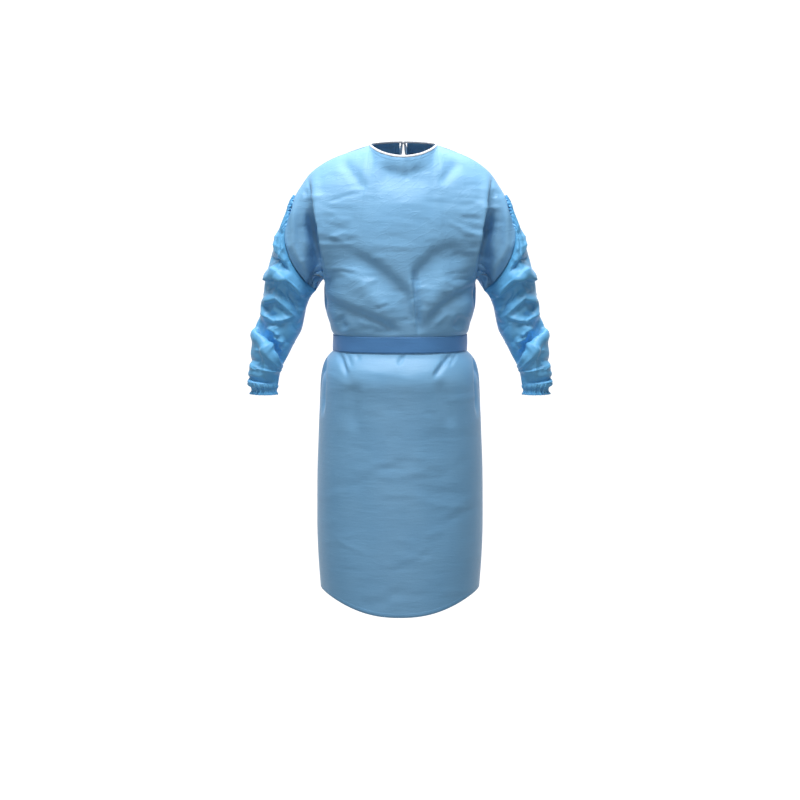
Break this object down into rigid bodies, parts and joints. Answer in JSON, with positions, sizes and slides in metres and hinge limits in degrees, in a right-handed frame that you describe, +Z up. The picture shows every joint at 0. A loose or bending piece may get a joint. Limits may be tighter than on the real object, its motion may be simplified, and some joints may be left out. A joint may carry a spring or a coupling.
{
  "type": "procedure gown",
  "caption": "Long-sleeved procedure gown in its worn shape, hollow and open at the neck, hem and wrists, lapped behind, with a tied belt.",
  "frame": {"origin": "midway between the two points where the shoulder seams meet the neckline, which is where the wearer's shoulders hold the gown up", "axes": "+Z up the body, -Y towards the front panel, +X towards the sleeve on the right of a front view"},
  "size_m": [0.7196, 0.3208, 1.1139],
  "materials": {
    "gown_cloth": "smooth light blue nonwoven with a faint sheen",
    "belt_cloth": "matt darker blue nonwoven",
    "binding": "matt white bias strip"
  },
  "bodies": {
    "root": {"front": "gown_cloth", "back_left": "gown_cloth", "back_right": "gown_cloth", "sleeve_left": "gown_cloth", "sleeve_right": "gown_cloth", "cuff_left": "gown_cloth", "cuff_right": "gown_cloth", "neck_binding": "binding", "neck_knot": "binding", "neck_tie_left": "binding", "neck_tie_right": "binding", "belt": "belt_cloth", "belt_knot": "belt_cloth", "belt_end_left": "belt_cloth", "belt_end_right": "belt_cloth"}
  },
  "joints": []
}
